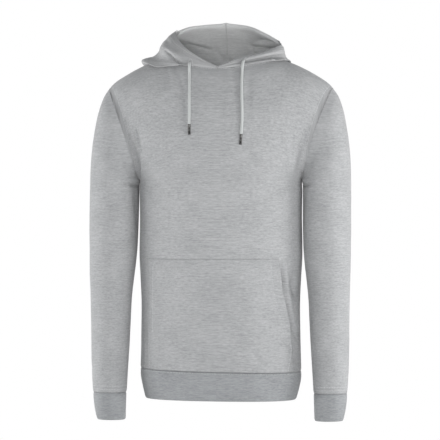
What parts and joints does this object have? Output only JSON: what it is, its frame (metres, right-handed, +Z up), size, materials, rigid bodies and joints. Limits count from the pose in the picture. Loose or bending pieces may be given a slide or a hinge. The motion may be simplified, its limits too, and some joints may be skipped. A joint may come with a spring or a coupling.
{
  "type": "pullover hoodie, filled out and hollow, held up at the neck by its wearer",
  "caption": "Light grey heather pullover hoodie with the hood down, drawcords with metal tips, a kangaroo pocket, smooth cuffs and hem band",
  "frame": {"origin": "the middle of the neck base, at the height of the front neck seam, where the wearer holds the garment up", "axes": "+Z up along the body, +X to the viewer's right in the picture, -Y to the front"},
  "size_m": [0.5342, 0.2746, 0.8134],
  "materials": {
    "body_cloth": "light blue-grey heather slub jersey",
    "hood_cloth": "the same heather jersey, in softer light",
    "band_cloth": "smooth heather jersey in a tighter, finer knit",
    "drawcord": "pale grey round braided cord",
    "aglet_metal": "dark crimped metal tip"
  },
  "bodies": {
    "root": {"front": "body_cloth", "back": "body_cloth", "pocket": "body_cloth", "sleeve_left": "body_cloth", "sleeve_right": "body_cloth", "hood_left": "hood_cloth", "hood_right": "hood_cloth", "hem_band": "band_cloth", "cuff_left": "band_cloth", "cuff_right": "band_cloth", "cord_left": "drawcord", "cord_right": "drawcord", "aglet_left": "aglet_metal", "aglet_right": "aglet_metal"}
  },
  "joints": []
}
